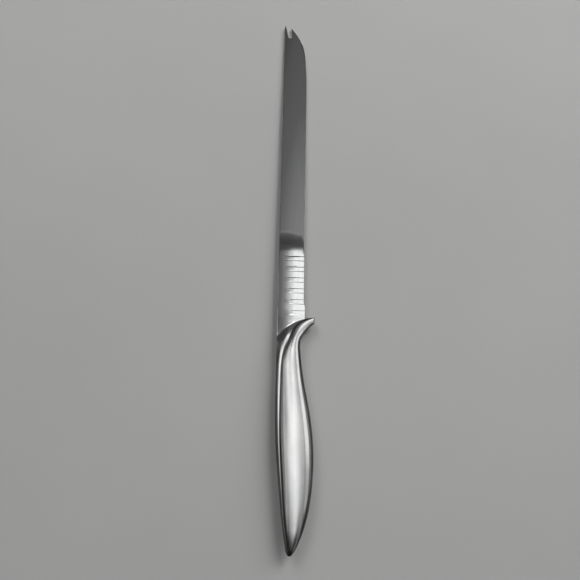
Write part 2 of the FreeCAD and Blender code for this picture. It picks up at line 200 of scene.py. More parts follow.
# %% [markdown]
# ## The camera
# The picture was taken from close above the table, looking almost straight down, so the handle end looks
# larger than the tip. Camera and table belong together: the camera is placed in the leaning table's own
# frame, and its up side is turned towards the tip.

# %% Camera
CAMERA_STAND = Vector((-0.00288, -0.08193, 0.2787))
CAMERA_TURN = math.radians(1.17)
CAMERA_DIP = math.radians(78)
CAMERA_LENS, SENSOR_WIDTH = 27.19, 36
NEAREST_SEEN = 0.01

lens = bpy.data.cameras.new("camera")
lens.sensor_width = SENSOR_WIDTH
lens.lens = CAMERA_LENS
lens.clip_start = NEAREST_SEEN
gaze = Vector((-math.sin(CAMERA_TURN) * math.cos(CAMERA_DIP),
               math.cos(CAMERA_TURN) * math.cos(CAMERA_DIP),
               -math.sin(CAMERA_DIP)))
camera = bpy.data.objects.new("camera", lens)
camera.matrix_world = (table_place @ Matrix.Translation(CAMERA_STAND)
                       @ gaze.to_track_quat("-Z", "Y").to_matrix().to_4x4())
bpy.context.scene.collection.objects.link(camera)
bpy.context.scene.camera = camera
print("camera stands", [round(value, 4) for value in camera.matrix_world.translation])

# %% [markdown]
# ## The light
# Polished steel shows the room, not itself, so the light is drawn as shapes. Bands of panels hang over the
# knife one behind the other, and each band is a row of steps from the spine's side to the edge side. The
# bands over the handle give the crown its broad highlight, dimmer step by step towards the spine. The next
# ones are what the heel of the blade mirrors, and their far end is where the bright heel stops. A card on the
# edge side draws the second, thinner streak along the grip. The dull table needs no shapes, only a soft
# level, so three lamps of its own light it, all from beyond the tip and two of them from the edge side.

# %% Lamps
PANEL_HEIGHT = 1.0
PANELS_NEAR, HEEL_FOOT, HEEL_FAR = -0.95, 0.13, 0.333
DOWN = (0, 0, -1)


def overhead(name, near, far, steps):
    """Panels side by side above the knife, from left to right: each step has two sides and a brightness."""
    return [(f"{name}_{i}", ((left + right) / 2, (near + far) / 2, PANEL_HEIGHT), (right - left, far - near),
             DOWN, brightness) for i, (left, right, brightness) in enumerate(steps)]


BUTT_STEPS = [(-1.11, -0.80, 0.36), (-0.80, -0.50, 0.40), (-0.50, -0.32, 0.46), (-0.32, -0.20, 0.56),
              (-0.20, -0.08, 0.72), (-0.08, 0.20, 0.88), (0.20, 0.30, 0.48), (0.30, 0.95, 0.26)]
GRIP_STEPS = [(-1.11, -0.80, 0.74), (-0.80, -0.66, 0.86), (-0.66, -0.53, 1.00), (-0.53, -0.39, 1.08),
              (-0.39, -0.25, 1.16), (-0.25, -0.12, 1.27), (-0.12, 0.03, 1.36), (0.03, 0.16, 1.22),
              (0.16, 0.30, 0.98), (0.30, 0.47, 0.74), (0.47, 0.95, 0.56)]
SWELL_STEPS = [(-1.11, -0.80, 0.45), (-0.80, -0.66, 0.58), (-0.66, -0.53, 0.77), (-0.53, -0.39, 0.95),
               (-0.39, -0.25, 1.12), (-0.25, -0.12, 1.25), (-0.12, 0.03, 1.32), (0.03, 0.16, 1.22),
               (0.16, 0.30, 1.02), (0.30, 0.47, 0.85), (0.47, 0.95, 0.72)]
WAIST_STEPS = [(-1.11, -0.80, 0.48), (-0.80, -0.66, 0.62), (-0.66, -0.53, 0.85), (-0.53, -0.39, 1.10),
               (-0.39, -0.12, 1.50), (-0.12, 0.16, 1.62), (0.16, 0.30, 1.35), (0.30, 0.47, 1.15),
               (0.47, 0.95, 0.72)]
NECK_STEPS = [(-1.11, -0.62, 0.85), (-0.62, -0.39, 1.25), (-0.39, -0.12, 1.55), (-0.12, 0.30, 1.85),
              (0.30, 0.47, 1.20), (0.47, 0.95, 0.72)]
NECK_FAR_STEPS = [(-1.11, -0.62, 0.85), (-0.62, -0.39, 1.25), (-0.39, -0.14, 1.55), (-0.14, -0.02, 0.20),
                  (-0.02, 0.04, 0.30), (0.04, 0.30, 1.85), (0.30, 0.47, 1.20), (0.47, 0.95, 0.72)]
NECK_SIDE = [(-1.11, -0.62, 0.85), (-0.62, -0.28, 1.25)]
HEEL_SIDE = [(-1.11, -0.62, 0.55), (-0.62, -0.28, 0.72)]
EDGE_SIDE, RIM_SIDE = (0.47, 0.95, 0.72), (0.47, 0.95, 0.30)
HEEL_STEPS = [(-0.28, -0.02, 0.15), (-0.02, 0.03, 0.28), (0.03, 0.07, 0.48), (0.07, 0.12, 0.82),
              (0.12, 0.155, 1.18), (0.155, 0.47, 1.45)]
FOOT_SHARE = 0.72
HEEL_FOOT_STEPS = [(left, right, brightness * FOOT_SHARE) for left, right, brightness in HEEL_STEPS]
# Each band runs up to this y, and starts where the one before it ends
BANDS = [
    ("butt_panel", -0.62, BUTT_STEPS),
    ("grip_panel", -0.27, GRIP_STEPS),
    ("swell_panel", -0.08, SWELL_STEPS),
    ("waist_panel", 0.03, WAIST_STEPS),
    ("neck_panel", 0.064, NECK_STEPS),
    ("neck_far_panel", 0.085, NECK_FAR_STEPS),
    ("heel_foot_panel", HEEL_FOOT, [*NECK_SIDE, *HEEL_FOOT_STEPS, EDGE_SIDE]),
    ("heel_panel", 0.30, [*HEEL_SIDE, *HEEL_STEPS, EDGE_SIDE]),
    ("heel_end_panel", HEEL_FAR, [*HEEL_STEPS, EDGE_SIDE]),
    ("dark_rim", 0.337, [(-0.28, 0.10, 0.03), (0.10, 0.47, 1.35), RIM_SIDE]),
    ("corner_rim", 0.341, [(-0.28, 0.16, 0.05), (0.16, 0.47, 1.45), RIM_SIDE]),
    ("pale_rim", 0.351, [(-0.28, 0.23, 0.085), (0.23, 0.47, 0.60), RIM_SIDE]),
    ("inner_rim", 0.362, [(-0.28, 0.47, 0.05), RIM_SIDE]),
    ("middle_rim", 0.374, [(-0.28, 0.47, 0.07), RIM_SIDE]),
    ("outer_rim", 0.384, [(-0.28, 0.47, 0.10), RIM_SIDE]),
    ("far_rim", 0.394, [(-0.28, 0.47, 0.14), RIM_SIDE]),
]
STEEL_PANELS = [
    # name, middle, width and height, direction it shines in, brightness
    ("spine_side_card", (-1.15, -0.30, 0.70), (1.00, 0.60), (1, 0, 0), 0.52),
    ("spine_side_card_low", (-1.15, -0.30, 0.225), (1.00, 0.35), (1, 0, 0), 0.19),
    ("edge_side_card", (1.0, 0.20, 0.55), (1.0, 0.69), (-1, 0, 0), 1.10),
    ("edge_side_card_low", (1.0, -0.55, 0.55), (0.5, 0.69), (-1, 0, 0), 0.42),
    ("guard_card", (0.61, -0.975, 0.50), (0.55, 0.65), (-0.53, 0.85, 0), 0.95),
]
band_near = PANELS_NEAR
for name, band_far, steps in BANDS:
    STEEL_PANELS += overhead(name, band_near, band_far, steps)
    band_near = band_far
TABLE_LAMPS = [
    ("key_lamp", (0.95, 1.5, 1.7), (0.8, 0.8), (-0.95, -1.5, -1.7), 9.8),
    ("low_lamp", (1.9, 1.5, 1.5), (1.2, 1.2), (-1.9, -1.5, -1.5), 4.3),
    ("fill_lamp", (-0.80, 1.5, 1.8), (1.1, 1.1), (0.80, -1.5, -1.8), 3.7),
]


def hang(name, middle, size, shine, brightness):
    """Hang one lamp, with a brightness that doesn't change with its size."""
    lamp = bpy.data.lights.new(name, "AREA")
    lamp.shape = "RECTANGLE"
    lamp.size, lamp.size_y = size
    lamp.energy = brightness * math.pi * size[0] * size[1]
    panel = bpy.data.objects.new(name, lamp)
    panel.matrix_world = (Matrix.Translation(middle)
                          @ Vector(shine).to_track_quat("-Z", "Y").to_matrix().to_4x4())
    bpy.context.scene.collection.objects.link(panel)
    return panel


for panel in STEEL_PANELS:
    hang(*panel).visible_diffuse = False
for lamp in TABLE_LAMPS:
    hang(*lamp).visible_glossy = False
print(len(STEEL_PANELS), "panels for the steel and", len(TABLE_LAMPS), "lamps for the table")

# %% [markdown]
# The room round the lamps is a plain grey dome, lightest overhead and a little towards the edge side. The
# steel mirrors it in full. The table gets only a share of its light, because light from all sides at once
# would wash out the soft shadows beside the knife.

# %% The grey room
LIT_SIDE = (0.3, 0.2, 0.93)
TABLE_SHARE = 0.25
ROOM_STOPS = [(0.0, 0.04), (0.75, 0.06), (0.90, 0.08), (0.92, 0.13), (0.957, 0.165), (0.978, 0.26),
              (1.0, 0.36)]

room = bpy.data.worlds.new("grey_room")
room.use_nodes = True
nodes = room.node_tree.nodes
links = room.node_tree.links
heading = nodes.new("ShaderNodeTexCoord")
toward = nodes.new("ShaderNodeVectorMath")
toward.operation = "DOT_PRODUCT"
toward.inputs[1].default_value = Vector(LIT_SIDE).normalized()
links.new(heading.outputs["Generated"], toward.inputs[0])
share = nodes.new("ShaderNodeMapRange")
share.inputs["From Min"].default_value = -1
links.new(toward.outputs["Value"], share.inputs["Value"])
grey = [(place, (level, level, level, 1)) for place, level in ROOM_STOPS]
links.new(ramp(nodes, links, share.outputs["Result"], grey), nodes["Background"].inputs["Color"])
ray = nodes.new("ShaderNodeLightPath")
dimmer = nodes.new("ShaderNodeMapRange")
dimmer.inputs["To Min"].default_value = 1
dimmer.inputs["To Max"].default_value = TABLE_SHARE
links.new(ray.outputs["Is Diffuse Ray"], dimmer.inputs["Value"])
links.new(dimmer.outputs["Result"], nodes["Background"].inputs["Strength"])
bpy.context.scene.world = room
print("room brightness runs from", ROOM_STOPS[0][1], "to", ROOM_STOPS[-1][1])

# %% [markdown]
# All panels hang under one dark housing. It keeps the room out of their reflections, and its far rim shows in
# the blade as the dark band just in front of the bright heel. Only mirrored light sees it: the lamps of the
# table shine past it.

# %% Dark housing of the panels
HOUSING_GAP = 0.01
HOUSING_LEFT, HOUSING_RIGHT = -1.15, 1.0
HOUSING_ROUGHNESS = 0.9
SOOT = (12, 12, 12)
SOOT_STOPS = [(0.3, (0.010, 0.010, 0.011, 1)), (0.7, (0.022, 0.022, 0.024, 1))]
RIM_FAR = BANDS[-1][1]

housing_finish, nodes, links, shader, where = new_finish("lamp_housing")
soot = cloud(nodes, links, where, SOOT)
links.new(ramp(nodes, links, soot, SOOT_STOPS), shader.inputs["Base Color"])
shader.inputs["Roughness"].default_value = HOUSING_ROUGHNESS
housing_mesh = bpy.data.meshes.new("lamp_housing")
above = PANEL_HEIGHT + HOUSING_GAP
housing_mesh.from_pydata([(HOUSING_LEFT, PANELS_NEAR, above), (HOUSING_LEFT, RIM_FAR, above),
                          (HOUSING_RIGHT, RIM_FAR, above), (HOUSING_RIGHT, PANELS_NEAR, above)],
                         [], [(0, 1, 2, 3)])
housing_mesh.materials.append(housing_finish)
housing = bpy.data.objects.new("lamp_housing", housing_mesh)
housing.visible_camera = False
housing.visible_diffuse = False
housing.visible_shadow = False
bpy.context.scene.collection.objects.link(housing)
print("housing's rim is", round((RIM_FAR - HEEL_FAR) * 1000), "mm wide")

# %% [markdown]
# ## Blade steel
# The blade is polished along its length with fine wheels. Hair-thin lines from heel to tip spread the light
# across the blade but leave it sharp along it, so the shader's gloss is stretched across them. Noise drawn
# out along y adds the lines themselves, longer noise adds stray scratches, and slow clouds in the roughness
# are the haze that wiping leaves.

# %% Polished steel
POLISHED_STOPS = [(0.3, (0.55, 0.56, 0.56, 1)), (0.6, (0.61, 0.615, 0.61, 1))]
LINES, HAZE, SCRATCHES = (5200, 38, 5200), (130, 34, 130), (1900, 9, 1900)
LINE_RELIEF, SCRATCH_RELIEF = (0.00002, 0.10), (0.00003, 0.08)
HAZE_ROUGHNESS = 0.055, 0.075
GLOSS_STRETCH, GLOSS_TURN = 0.85, 0.25

polished, nodes, links, shader, where = new_finish("polished_steel")
shader.inputs["Metallic"].default_value = 1.0
shader.inputs["Anisotropic"].default_value = GLOSS_STRETCH
shader.inputs["Anisotropic Rotation"].default_value = GLOSS_TURN
along = nodes.new("ShaderNodeTangent")
along.direction_type = "RADIAL"
along.axis = "X"
links.new(along.outputs["Tangent"], shader.inputs["Tangent"])
lines = cloud(nodes, links, where, LINES, detail=3.0)
haze = cloud(nodes, links, where, HAZE, detail=5.0)
links.new(ramp(nodes, links, lines, POLISHED_STOPS), shader.inputs["Base Color"])
links.new(spread(nodes, links, haze, *HAZE_ROUGHNESS), shader.inputs["Roughness"])
relief = emboss(nodes, links, shader, lines, *LINE_RELIEF)
scratches = cloud(nodes, links, where, SCRATCHES, detail=2.0)
emboss(nodes, links, shader, scratches, *SCRATCH_RELIEF, under=relief)
print("finish:", polished.name)

# %% [markdown]
# ## Handle steel
# The handle halves are struck from sheet and brought to a soft satin with emery and felt, so the highlight
# spreads further than on the blade. Years in a drawer leave faint cloudy patches and short marks. The brushed
# lines follow the grip's length. The mesh carries a value of painted shade, and the finish turns dark where
# it is high: painted shade in the groove, painted dark reflections on the spine's wall and on the seam.

# %% Satin steel
SATIN_STOPS = [(0.32, (0.62, 0.625, 0.625, 1)), (0.62, (0.70, 0.70, 0.69, 1))]
# Colour of the painted shade and the painted dark reflections on the handle
SHADE_PAINT = (0.045, 0.043, 0.042, 1)
BRUSHED, PATCHES, SHADE_BLOTCHES, MARKS = (2600, 110, 2600), (95, 60, 95), (500, 90, 500), (420, 240, 420)
BRUSHED_RELIEF, MARK_RELIEF = (0.00003, 0.12), (0.00003, 0.03)
PATCH_ROUGHNESS = 0.25, 0.20
SHADE_UNEVEN = 0.85, 1.0

satin, nodes, links, shader, where = new_finish("satin_steel")
shader.inputs["Metallic"].default_value = 1.0
brushed = cloud(nodes, links, where, BRUSHED, detail=4.0)
patches = cloud(nodes, links, where, PATCHES, detail=5.0)
bare_colour = ramp(nodes, links, patches, SATIN_STOPS)
# Painted shade: the mesh's value, made a little uneven by noise, darkens the colour towards the shade colour
shade_value = nodes.new("ShaderNodeAttribute")
shade_value.attribute_name = "painted_shade"
uneven = nodes.new("ShaderNodeMath")
uneven.operation = "MULTIPLY"
links.new(shade_value.outputs["Fac"], uneven.inputs[0])
links.new(spread(nodes, links, cloud(nodes, links, where, SHADE_BLOTCHES), *SHADE_UNEVEN), uneven.inputs[1])
darken = nodes.new("ShaderNodeMix")
darken.data_type = "RGBA"
darken.inputs["B"].default_value = SHADE_PAINT
links.new(uneven.outputs["Value"], darken.inputs["Factor"])
links.new(bare_colour, darken.inputs["A"])
links.new(darken.outputs["Result"], shader.inputs["Base Color"])
links.new(spread(nodes, links, patches, *PATCH_ROUGHNESS), shader.inputs["Roughness"])
relief = emboss(nodes, links, shader, brushed, *BRUSHED_RELIEF)
marks = cloud(nodes, links, where, MARKS, detail=2.0)
emboss(nodes, links, shader, marks, *MARK_RELIEF, under=relief)
print("finish:", satin.name)

# %% [markdown]
# ## Cement
# The hollow handle is filled with a hard cement of resin and stone dust, poured in hot round the tang. It
# hardens to a dull brown mass with pale grains in it. It shows only when the halves are taken apart.

# %% Filling cement
CEMENT_STOPS = [(0.4, (0.30, 0.25, 0.20, 1)), (0.66, (0.46, 0.41, 0.35, 1))]
CEMENT_GRAINS = (900, 900, 900)
CEMENT_RELIEF = 0.0003, 0.5
CEMENT_ROUGHNESS = 0.9

cement, nodes, links, shader, where = new_finish("filling_cement")
grains = cloud(nodes, links, where, CEMENT_GRAINS, detail=5.0, roughness=0.7)
links.new(ramp(nodes, links, grains, CEMENT_STOPS), shader.inputs["Base Color"])
shader.inputs["Roughness"].default_value = CEMENT_ROUGHNESS
emboss(nodes, links, shader, grains, *CEMENT_RELIEF)

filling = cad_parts["handle_filling"]
filling.data.materials.clear()
filling.data.materials.append(cement)
print("finish:", cement.name, "on", filling.name)

# %% [markdown]
# ## The handle's skin
# Each half is a struck shell: a ledge with a groove beside it runs along the spine, a round crown falls to
# the edge side, and at the front the whole section fans out round the finger recess into a hooked guard. A
# row of cross-sections says all of that. A surface modelled by hand over so many changing curves would
# wobble, so the skin is woven from smooth curves through those sections, as a shipwright lofts a hull.

# %% Sizes of the handle
GRIP_HEIGHT = 0.0073
GUARD_REACH = 0.0234
NECK_STATION = 9

# Spine end of each section: x and y, hooked end: x and y, height of the crown, height of the spine's wall,
# the ledge's lip: across and up, and the groove: across and up, all in millimetres. Last comes how level the
# ledge's top is
STATIONS = [
    (8.95, -123.6, 11.35, -123.6, 0.95, 0.40, 0.40, 0.58, 0.60, 0.46, 0.3),
    (8.25, -122.1, 12.6, -122.1, 1.75, 0.70, 0.70, 1.05, 1.05, 0.84, 0.3),
    (7.60, -119.3, 14.35, -119.3, 2.52, 0.95, 1.00, 1.47, 1.50, 1.18, 0.3),
    (6.50, -113.0, 17.15, -113.0, 3.65, 1.30, 1.15, 2.03, 1.80, 1.62, 0.3),
    (4.65, -100.1, 20.9, -100.1, 5.40, 1.70, 1.25, 2.70, 2.05, 2.15, 0.35),
    (2.50, -82.0, 23.1, -82.0, 6.79, 1.95, 1.65, 3.25, 2.70, 2.60, 0.45),
    (0.70, -61.8, 22.9, -61.8, 7.30, 2.15, 1.90, 3.45, 3.00, 2.75, 0.75),
    (0.03, -42.6, 20.1, -42.6, 6.80, 2.25, 2.05, 3.50, 3.20, 2.80, 1.0),
    (0.00, -24.1, 16.5, -24.1, 5.80, 2.20, 2.20, 3.55, 3.35, 2.85, 1.0),
    (0.00, -10.5, 14.9, -10.5, 5.35, 2.10, 3.35, 3.60, 4.65, 2.95, 0.95),
    (0.00, 0.0, 15.1, -2.9, 4.95, 1.40, 6.20, 3.25, 8.10, 3.00, 0.2),
    (0.00, 6.5, 17.2, 0.8, 4.20, 0.90, 9.00, 2.72, 10.6, 3.10, 0.0),
    (0.00, 12.5, 20.4, 4.8, 3.45, 0.30, 12.5, 2.50, 14.6, 2.85, 0.0),
    (0.00, 19.6, 22.9, 7.0, 2.95, 0.20, 18.4, 2.35, 20.6, 2.60, 0.0),
    (0.00, 27.9, 25.7, 8.7, 2.70, 0.20, 25.9, 2.30, 28.1, 2.50, 0.0),
]


def between(low, high, way):
    """The value that lies part of the way from one to another."""
    return low + (high - low) * way


stations = np.array(STATIONS)
stations[:, :-1] /= 1000
print(len(stations), "sections, the widest", round(max(stations[:, 2] - stations[:, 0]) * 1000, 1), "mm")

# %% [markdown]
# A cubic spline through the sections keeps every line along the handle free of kinks. Its stiffness is the
# same as that of a bent wooden batten: the bending is solved once for all sections together.

# %% A batten through the sections
FINE_STEPS = 700


def batten(knots, values, at):
    """Bend a cubic spline through rows of values and read it at other places."""
    gaps = np.diff(knots)
    count = len(knots)
    stiff = np.eye(count)
    load = np.zeros_like(values)
    rises = np.diff(values, axis=0) / gaps[:, None]
    for i in range(1, count - 1):
        stiff[i, i - 1:i + 2] = gaps[i - 1], 2 * (gaps[i - 1] + gaps[i]), gaps[i]
        load[i] = 6 * (rises[i] - rises[i - 1])
    bend = np.linalg.solve(stiff, load)
    i = np.clip(np.searchsorted(knots, at, side="right") - 1, 0, count - 2)
    gap = gaps[i][:, None]
    ahead = (knots[i + 1] - at)[:, None] / gap
    behind = 1 - ahead
    curl = (ahead ** 3 - ahead) * bend[i] + (behind ** 3 - behind) * bend[i + 1]
    return ahead * values[i] + behind * values[i + 1] + curl * gap ** 2 / 6


middles = (stations[:, 0:2] + stations[:, 2:4]) / 2
knots = np.concatenate([[0], np.cumsum(np.linalg.norm(np.diff(middles, axis=0), axis=1))])
fine_along = np.linspace(0, knots[-1], FINE_STEPS)
fine_stations = batten(knots, stations, fine_along)
print("batten is", round(knots[-1] * 1000, 1), "mm long")

# %% [markdown]
# Across the handle each section goes up the spine's wall, over the brow of the ledge, down into the groove,
# over the crown and down to the seam. Metal that has been struck and polished has no sharp inner corner, so a
# moving average rounds the whole line a little, and it sees the mirror image past the seam, so both halves
# meet without a crease. Each point also says how much painted shade it gets: painted shade in the groove,
# painted dark reflections on the wall at the spine and on the seam at the edge side. It grows wider and
# darker towards the butt and covers the butt's end, and it is paler on the bolster and narrower on the seam
# at the guard.

# %% One cross-section
RIM_HEIGHT = 0.0010
RIM_SHARE = 0.35
CROWN_NEAR_SHARE = 0.09
CROWN_FAR_SHARES = (0.97, 0.89)
SLIM_WIDTH, FULL_WIDTH = 0.013, 0.022
WALL_LEAN_SHARE = 0.70
WALL_LEAN = 0.00135
LEANING_LIP, FACE_LIP = 0.0025, 0.0050
PULL_SHARE = 0.75
# Where a curve is drawn to: the share of the way across and the share of the way up or down
BROW_PULLS = (0.25, 0.64), (0.55, 1)
GROOVE_PULLS = (0.6, 0), (0.9, 0.3)
POLISH_RADIUS, POLISH_LEAST = 0.00016, 0.2
WALL_SHARE, WALL_BARE = 0.85, 0.0009
BOLSTER_UNSHADED, BOLSTER_SPREAD = 0.4, 3
# Painted shade ends between the first and the second distance, near the guard or at the butt
WALL_SHADE, WALL_SHADE_BUTT = np.array((-0.0001, 0.0005)), np.array((0.0003, 0.0016))
GROOVE_SHIFT, GROOVE_SHIFT_BUTT = 0.0004, 0.0002
GROOVE_SHADE, GROOVE_SHADE_BUTT = np.array((0.0003, 0.0007)), np.array((0.0004, 0.0009))
GROOVE_UNSHADED = 0.18
SEAM_SHADE, SEAM_SHADE_BUTT = np.array((0.0010, 0.0022)), np.array((0.0012, 0.0055))
SEAM_SHADE_GUARD = np.array((0.0005, 0.0014))
# Each change along the handle runs from the first y to the second
# The painted shade widens and darkens towards the butt and narrows on the seam at the guard
LEDGE_SHADE_GROWS = -0.025, -0.060
GROOVE_SHADE_GROWS = -0.045, -0.075
BUTT_SHADE_GROWS = -0.085, -0.118
GUARD_SHADE_NARROWS = -0.012, 0.004
END_SHADE_GROWS = -0.1085, -0.1195
END_SHADE_SHARE = 0.9
LINE_STEPS, STRAIGHT_STEPS = 480, 40
WALL_STEPS, BROW_STEPS, GROOVE_STEPS, CROWN_STEPS, RIM_STEPS = 6, 14, 10, 44, 6


def pulled(start, first_pull, second_pull, finish, count=80):
    """A curve from start to finish, drawn out towards two points."""
    t = np.linspace(0, 1, count)[:, None]
    corners = [np.array(point) for point in (start, first_pull, second_pull, finish)]
    return ((1 - t) ** 3 * corners[0] + 3 * (1 - t) ** 2 * t * corners[1]
            + 3 * (1 - t) * t ** 2 * corners[2] + t ** 3 * corners[3])


def smooth_step(low, high, value):
    """From 0 below one value to 1 above another, easing in and out."""
    way = np.clip((value - low) / (high - low), 0, 1)
    return way * way * (3 - 2 * way)


def polished_line(points, radius):
    """Round a line by a moving average of this radius, seeing its mirror image past both ends."""
    step = np.linalg.norm(points[1] - points[0])
    reach = min(max(int(3 * radius / step), 1), len(points) - 2)
    weights = np.exp(-0.5 * (np.arange(-reach, reach + 1) * step / radius) ** 2)
    weights /= weights.sum()
    flip = np.array((1, -1))
    padded = np.vstack([points[1:reach + 1][::-1] * flip, points, points[-reach - 1:-1][::-1] * flip])
    return np.column_stack([np.convolve(padded[:, axis], weights, mode="valid") for axis in (0, 1)])


def cross_section(ledge_shade_grows, groove_shade_grows, butt_shade_grows, guard_shade_narrows, end_shade_grows,
                  width, height, wall, lip, crest, groove, valley, level):
    """Points across one half, from the seam at the spine to the seam at the edge side, each with its painted
    shade.
    """
    level = max(level, 0)
    rim = RIM_HEIGHT * math.tanh(RIM_SHARE * height / RIM_HEIGHT)
    foot = (valley + rim) / 2
    top = foot + (height - foot) / PULL_SHARE
    fullness = smooth_step(SLIM_WIDTH, FULL_WIDTH, width)
    lean = WALL_LEAN * math.tanh(WALL_LEAN_SHARE * lip / WALL_LEAN)
    lean *= 1 - smooth_step(LEANING_LIP, FACE_LIP, lip)
    near = between(groove, width, CROWN_NEAR_SHARE)
    far = between(groove, width, between(*CROWN_FAR_SHARES, fullness))
    brow = np.array((lean, wall))
    brim = np.array((lip, crest))
    dip = np.array((groove, valley))
    straight = np.linspace(0, 1, STRAIGHT_STEPS)[:, None]

    def softened(start, end, pulls):
        """A straight run where the section isn't level, bent towards two points where it is."""
        straight_pulls = between(start, end, np.array([[1 / 3], [2 / 3]]))
        return pulled(start, *between(straight_pulls, between(start, end, np.array(pulls)), level), end)

    runs = [
        straight * brow,
        softened(brow, brim, BROW_PULLS),
        softened(brim, dip, GROOVE_PULLS),
        pulled(dip, (near, top), (far, top), (width, rim)),
        between(np.array((width, rim)), np.array((width, 0)), straight),
    ]
    line = np.vstack(runs)
    travelled = np.concatenate([[0], np.cumsum(np.linalg.norm(np.diff(line, axis=0), axis=1))])
    ends = np.concatenate([[0], travelled[np.cumsum([len(run) for run in runs]) - 1]])
    even = np.linspace(0, travelled[-1], LINE_STEPS)
    evened = np.column_stack([np.interp(even, travelled, line[:, axis]) for axis in (0, 1)])
    rounded = polished_line(evened, POLISH_RADIUS * min(height / GRIP_HEIGHT + POLISH_LEAST, 1))
    counts = (WALL_STEPS, BROW_STEPS, GROOVE_STEPS, CROWN_STEPS, RIM_STEPS)
    places = [np.linspace(ends[i], ends[i + 1], count, endpoint=False) for i, count in enumerate(counts)]
    places = np.concatenate([*places, [travelled[-1]]])
    x, z = (np.interp(places, even, rounded[:, axis]) for axis in (0, 1))
    bolster = smooth_step(LEANING_LIP, FACE_LIP, lip)
    off_wall = (x - max(lean, WALL_SHARE * (lip - WALL_BARE))) / between(1, BOLSTER_SPREAD, bolster)
    off_groove = np.abs(x - groove - between(GROOVE_SHIFT, GROOVE_SHIFT_BUTT, groove_shade_grows))
    seam = between(between(SEAM_SHADE, SEAM_SHADE_BUTT, butt_shade_grows), SEAM_SHADE_GUARD, guard_shade_narrows)
    # How much of each point is left free of painted shade, by its distance from the wall, the groove and the
    # seam
    unshaded = np.minimum.reduce([
        np.maximum(smooth_step(*between(WALL_SHADE, WALL_SHADE_BUTT, ledge_shade_grows), off_wall),
                   BOLSTER_UNSHADED * bolster),
        np.maximum(smooth_step(*between(GROOVE_SHADE, GROOVE_SHADE_BUTT, groove_shade_grows), off_groove),
                   GROOVE_UNSHADED * (1 - groove_shade_grows)),
        smooth_step(*seam, width - x),
    ])
    return np.column_stack([x, z, 1 - unshaded * (1 - END_SHADE_SHARE * end_shade_grows)])


STRETCHES = (LEDGE_SHADE_GROWS, GROOVE_SHADE_GROWS, BUTT_SHADE_GROWS, GUARD_SHADE_NARROWS, END_SHADE_GROWS)
fine_skin = []
for spine_x, spine_y, hook_x, hook_y, height, *profile in fine_stations:
    width = math.hypot(hook_x - spine_x, hook_y - spine_y)
    shares = [smooth_step(*stretch, spine_y) for stretch in STRETCHES]
    across = cross_section(*shares, width, height, *profile)
    way = across[:, 0] / width
    fine_skin.append(np.column_stack([between(spine_x, hook_x, way), between(spine_y, hook_y, way),
                                      across[:, 1:]]))
fine_skin = np.array(fine_skin)
fine_skin[..., 0] = np.maximum(fine_skin[..., 0], 0)
fine_skin[..., 2] *= GRIP_HEIGHT / fine_skin[..., 2].max()
print("skin woven from", fine_skin.shape[0], "sections of", fine_skin.shape[1], "points")

# %% [markdown]
# The front of the handle is cut on an arc from the spine to the hook of the guard, and the hook's end is cut
# square with a small round corner. Every line along the skin is followed until it meets that cut. The last
# stretch of each line is then shared out again, so the mesh ends exactly on the cut with no ragged edge.

# %% Trim the skin to the front arc
GUARD_CORNER = 0.0008
FRONT_BOW = 0.0025
FRONT_START = np.array((0, -0.0009))
GRIP_ROWS = 150
GUARD_ROWS = 60

front_end = np.array((GUARD_REACH - GUARD_CORNER, GUARD_RISE))
chord = front_end - FRONT_START
reach = np.linalg.norm(chord)
FRONT_RADIUS = (reach ** 2 / 4 + FRONT_BOW ** 2) / (2 * FRONT_BOW)
outward = np.array((-chord[1], chord[0])) / reach
front_centre = (FRONT_START + front_end) / 2 - outward * (FRONT_RADIUS - FRONT_BOW)
corner_x = GUARD_REACH - GUARD_CORNER
corner_y = front_centre[1] + math.sqrt((FRONT_RADIUS - GUARD_CORNER) ** 2 - (corner_x - front_centre[0]) ** 2)


def past_front(points):
    """How far points stand outside the front arc, the hook's end and the round corner between them."""
    x, y = points[..., 0], points[..., 1]
    past_arc = np.hypot(x - front_centre[0], y - front_centre[1]) - FRONT_RADIUS
    past_end = x - GUARD_REACH
    in_corner = (past_arc > -GUARD_CORNER) & (past_end > -GUARD_CORNER)
    past_corner = np.hypot(x - corner_x, y - corner_y) - GUARD_CORNER
    return np.where(in_corner, past_corner, np.maximum(past_arc, past_end))


neck_along = knots[NECK_STATION]
outside = past_front(fine_skin)
columns, values = fine_skin.shape[1:]
skin = np.empty((GRIP_ROWS + GUARD_ROWS + 1, columns, values))
for column in range(columns):
    first = np.argmax((outside[:, column] > 0) & (fine_along > neck_along))
    before, after = outside[first - 1, column], outside[first, column]
    cut = between(fine_along[first - 1], fine_along[first], -before / (after - before))
    rows = np.concatenate([np.linspace(0, neck_along, GRIP_ROWS, endpoint=False),
                           np.linspace(neck_along, cut, GUARD_ROWS + 1)])
    for value in range(values):
        skin[:, column, value] = np.interp(rows, fine_along, fine_skin[:, column, value])
# The fourth value of each point is its painted shade
skin, shade_share = skin[..., :3], skin[..., 3]
print("skin reaches", (skin.reshape(-1, 3).max(axis=0) * 1000).round(2), "mm from the maker's corner")

# %% [markdown]
# The cut edge is not left sharp: a file takes it down all round the front, and the small rounded edge catches
# the light beside the blade. Behind it a wall goes down to the mid-plane, where the other half begins.

# %% Round the front edge and close the half
EDGE_ROUND = 0.0008
DROP_SHARE = 0.8
ROUND_STEPS = 5
ROWS_FILED_AWAY = 2
WALL_GAP = 0.00005

